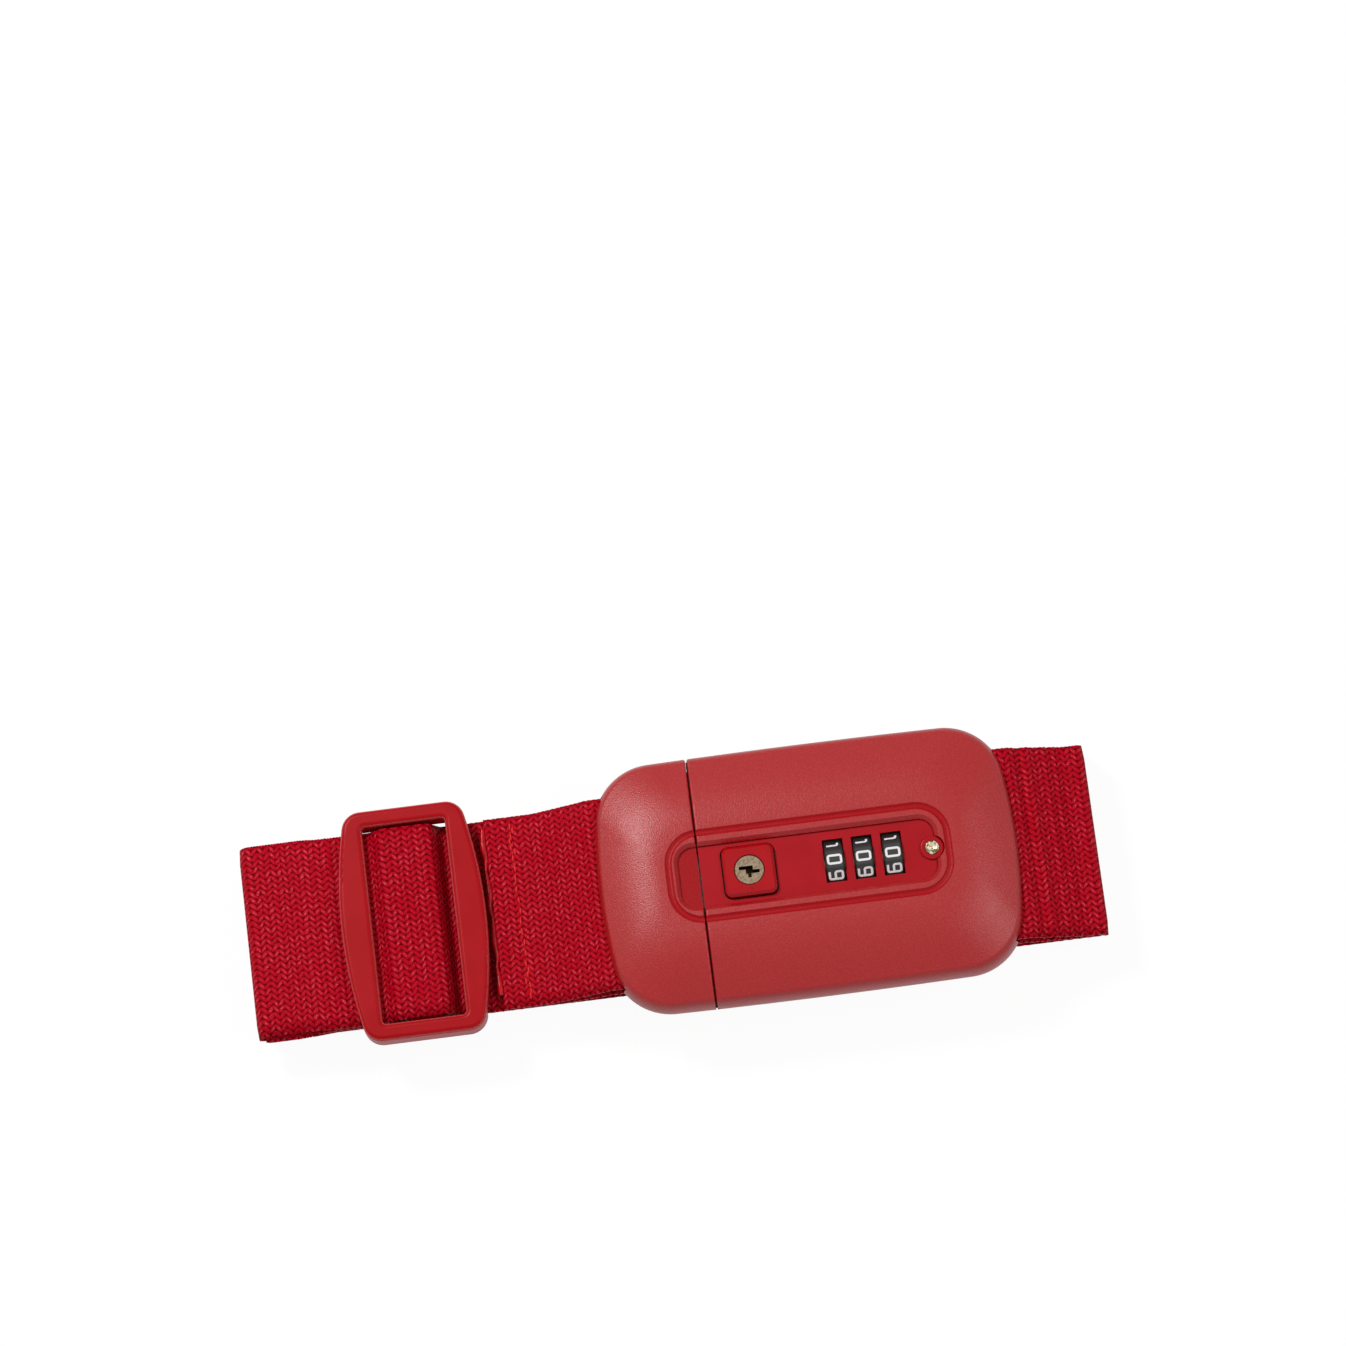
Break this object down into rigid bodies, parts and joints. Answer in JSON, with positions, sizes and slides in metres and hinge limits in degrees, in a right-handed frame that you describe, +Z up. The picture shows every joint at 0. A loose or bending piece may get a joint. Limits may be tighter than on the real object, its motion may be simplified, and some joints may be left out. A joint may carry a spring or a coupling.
{
  "type": "luggage strap",
  "caption": "Luggage strap of wide herringbone webbing with a combination-lock side-release buckle and a tri-glide adjuster, laid flat and folded up.",
  "frame": {"origin": "under the middle of the folded bundle, on the surface it rests on", "axes": "+X along the webbing from the tri-glide to the lock, +Z up out of the buckle's face"},
  "size_m": [0.221, 0.0662, 0.0322],
  "materials": {
    "housing_red": "fine matt texture",
    "panel_red": "satin",
    "button_red": "gloss",
    "slider_red": "satin",
    "webbing_red": "herringbone weave",
    "dial_black": "satin, white digits",
    "brass": "satin",
    "nickel": "brushed nickel plate",
    "steel": "brushed",
    "spring_steel": "bright wire"
  },
  "bodies": {
    "lock": {"lock_front_shell": "housing_red", "lock_back_cover": "housing_red", "dial_panel": "panel_red", "dial_shaft": "steel", "dial_click_spring": "spring_steel", "latch_spring": "spring_steel", "lock_screws": "steel", "lock_strap_bar": "steel", "button_springs": "spring_steel", "reset_spring": "spring_steel", "strap_folds": "webbing_red", "strap_lock_end": "webbing_red"},
    "tongue": {"tongue_front_shell": "housing_red", "tongue_back_cover": "housing_red", "tongue_plate": "steel", "tongue_screws": "steel", "tongue_strap_bar": "steel", "tongue_strap": "webbing_red"},
    "slider": {"tri_glide": "slider_red", "strap_glide_end": "webbing_red", "strap_tail": "webbing_red"},
    "button": {"release_button": "button_red"},
    "key": {"key_cylinder": "nickel", "key_cam": "steel"},
    "reset": {"reset_pin": "nickel"},
    "dial_1": {"number_dial_1": "dial_black", "dial_sleeve_1": "brass"},
    "dial_2": {"number_dial_2": "dial_black", "dial_sleeve_2": "brass"},
    "dial_3": {"number_dial_3": "dial_black", "dial_sleeve_3": "brass"}
  },
  "joints": [
    {"name": "tongue_release", "type": "slide", "parent": "lock", "child": "tongue", "axis": [-1, 0, 0], "range_m": [0, 0.032], "deforming": ["latch_spring"]},
    {"name": "slider_adjust", "type": "slide", "parent": "tongue", "child": "slider", "axis": [-1, 0, 0], "range_m": [0, 0.02]},
    {"name": "button_press", "type": "slide", "parent": "lock", "child": "button", "axis": [0, 0, -1], "range_m": [0, 0.002], "stiffness_N_per_m": 900, "springref_m": -0.001, "deforming": ["button_springs", "latch_spring"]},
    {"name": "key_turn", "type": "hinge", "parent": "button", "child": "key", "pos_m": [0.0204, 0, 0.03], "axis": [0, 0, -1], "range_deg": [0, 90]},
    {"name": "reset_press", "type": "slide", "parent": "lock", "child": "reset", "axis": [0, 0, -1], "range_m": [0, 0.0012], "stiffness_N_per_m": 700, "springref_m": -0.001, "deforming": ["reset_spring"]},
    {"name": "dial_1_turn", "type": "hinge", "parent": "lock", "child": "dial_1", "pos_m": [0.04235, 0, 0.0248], "axis": [1, 0, 0], "continuous": true},
    {"name": "dial_2_turn", "type": "hinge", "parent": "lock", "child": "dial_2", "pos_m": [0.04985, 0, 0.0248], "axis": [1, 0, 0], "continuous": true},
    {"name": "dial_3_turn", "type": "hinge", "parent": "lock", "child": "dial_3", "pos_m": [0.05735, 0, 0.0248], "axis": [1, 0, 0], "continuous": true}
  ]
}
